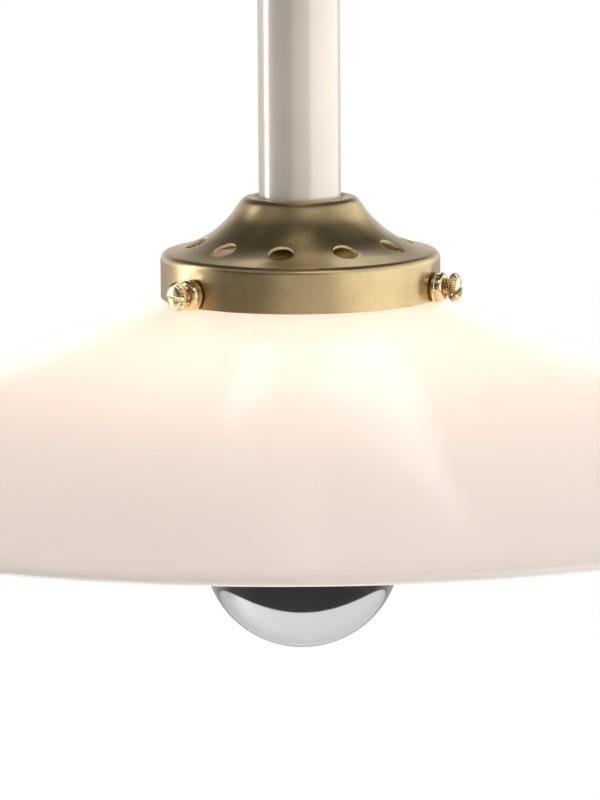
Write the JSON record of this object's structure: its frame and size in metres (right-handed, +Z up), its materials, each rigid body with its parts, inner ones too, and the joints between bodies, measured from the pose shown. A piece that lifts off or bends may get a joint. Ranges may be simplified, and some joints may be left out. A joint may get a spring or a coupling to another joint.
{
  "type": "pendant ceiling light",
  "caption": "Pendant light: cone of opal glass clamped by thumbscrews in a vented brass gallery, on a straight lacquered stem with ceiling canopy and a crown-mirrored screw-cap bulb.",
  "frame": {"origin": "centre of the ceiling plate's upper face, which lies against the ceiling", "axes": "+Z up through the ceiling; -Y is the front, +X is to the right seen from the front; the light hangs below z = 0"},
  "size_m": [0.3638, 0.3638, 0.5691],
  "materials": {
    "cream_lacquer": "warm cream lacquer on steel, semi-gloss",
    "satin_brass": "satin spun brass, faint turning lines and patina",
    "polished_brass": "polished turned brass",
    "zinc_steel": "zinc-plated steel",
    "opal_glass": "glossy pink-white opal glass, opaque to the eye, glowing when lit",
    "clear_glass": "clear blown glass",
    "mirror_silver": "silvering on the inside of the glass",
    "nickel_plate": "nickel plate",
    "black_glass": "black glass insulator",
    "black_phenolic": "moulded black phenolic, slight sheen",
    "porcelain": "glazed white porcelain",
    "white_nylon": "natural nylon",
    "filament_coating": "amber phosphor coating",
    "wire_brown": "brown wire insulation",
    "wire_blue": "blue wire insulation",
    "wire_green": "green wire insulation with a yellow stripe"
  },
  "bodies": {
    "fixture": {"block_screw_1": "zinc_steel", "block_screw_2": "zinc_steel", "block_screw_3": "zinc_steel", "bottom_nipple": "zinc_steel", "ceiling_plate": "zinc_steel", "gallery": "satin_brass", "gallery_nut": "zinc_steel", "hanger_yoke": "zinc_steel", "holder_cap": "satin_brass", "holder_centre_contact": "polished_brass", "holder_core": "porcelain", "holder_screw_shell": "polished_brass", "holder_sleeve": "black_phenolic", "holder_terminal_1": "polished_brass", "holder_terminal_2": "polished_brass", "holder_terminal_3": "polished_brass", "screw_boss_1": "polished_brass", "screw_boss_2": "polished_brass", "screw_boss_3": "polished_brass", "shade": "opal_glass", "stem_bottom_plug": "zinc_steel", "stem_top_plug": "zinc_steel", "stem_tube": "cream_lacquer", "terminal_block": "white_nylon", "top_nipple": "zinc_steel", "wire_earth": "wire_green", "wire_live": "wire_brown", "wire_neutral": "wire_blue", "yoke_nut_lower": "zinc_steel", "yoke_nut_upper": "zinc_steel", "yoke_screw_left": "zinc_steel", "yoke_screw_right": "zinc_steel"},
    "canopy": {"canopy": "cream_lacquer", "canopy_collar": "satin_brass", "canopy_grub_screw": "zinc_steel"},
    "bulb_axis": {"bulb_contact": "nickel_plate"},
    "bulb": {"bulb_glass": "clear_glass", "bulb_mirror": "mirror_silver", "bulb_cap_shell": "nickel_plate", "bulb_insulator": "black_glass", "bulb_mount": "clear_glass", "filament_wire_upper": "nickel_plate", "filament_wire_lower": "nickel_plate", "filament_1": "filament_coating", "filament_2": "filament_coating", "filament_3": "filament_coating", "filament_4": "filament_coating"},
    "pad_1": {"thumbscrew_pad_1": "white_nylon"},
    "screw_1": {"thumbscrew_1": "polished_brass"},
    "pad_2": {"thumbscrew_pad_2": "white_nylon"},
    "screw_2": {"thumbscrew_2": "polished_brass"},
    "pad_3": {"thumbscrew_pad_3": "white_nylon"},
    "screw_3": {"thumbscrew_3": "polished_brass"}
  },
  "joints": [
    {"name": "canopy_slide", "type": "slide", "parent": "fixture", "child": "canopy", "axis": [0, 0, -1], "range_m": [0, 0.36]},
    {"name": "bulb_travel", "type": "slide", "parent": "fixture", "child": "bulb_axis", "axis": [0, 0, -1], "range_m": [0, 0.01814]},
    {"name": "bulb_turn", "type": "hinge", "parent": "bulb_axis", "child": "bulb", "pos_m": [0, 0, -0.5382], "axis": [0, 0, -1], "range_deg": [0, 1800]},
    {"name": "screw_1_travel", "type": "slide", "parent": "fixture", "child": "pad_1", "axis": [-0.7524, -0.6587, 0], "range_m": [0, 0.0028]},
    {"name": "screw_1_turn", "type": "hinge", "parent": "pad_1", "child": "screw_1", "pos_m": [-0.03792, -0.0332, -0.4545], "axis": [-0.7524, -0.6587, 0], "range_deg": [0, 1440]},
    {"name": "screw_2_travel", "type": "slide", "parent": "fixture", "child": "pad_2", "axis": [0.9466, -0.3223, 0], "range_m": [0, 0.0028]},
    {"name": "screw_2_turn", "type": "hinge", "parent": "pad_2", "child": "screw_2", "pos_m": [0.04771, -0.01624, -0.4545], "axis": [0.9466, -0.3223, 0], "range_deg": [0, 1440]},
    {"name": "screw_3_travel", "type": "slide", "parent": "fixture", "child": "pad_3", "axis": [-0.1942, 0.981, 0], "range_m": [0, 0.0028]},
    {"name": "screw_3_turn", "type": "hinge", "parent": "pad_3", "child": "screw_3", "pos_m": [-0.00979, 0.04944, -0.4545], "axis": [-0.1942, 0.981, 0], "range_deg": [0, 1440]}
  ],
  "couplings": [
    {"joint": "bulb_turn", "follows": "bulb_travel", "rad_per_m": 1731.4},
    {"joint": "screw_1_turn", "follows": "screw_1_travel", "rad_per_m": 8976},
    {"joint": "screw_2_turn", "follows": "screw_2_travel", "rad_per_m": 8976},
    {"joint": "screw_3_turn", "follows": "screw_3_travel", "rad_per_m": 8976}
  ]
}
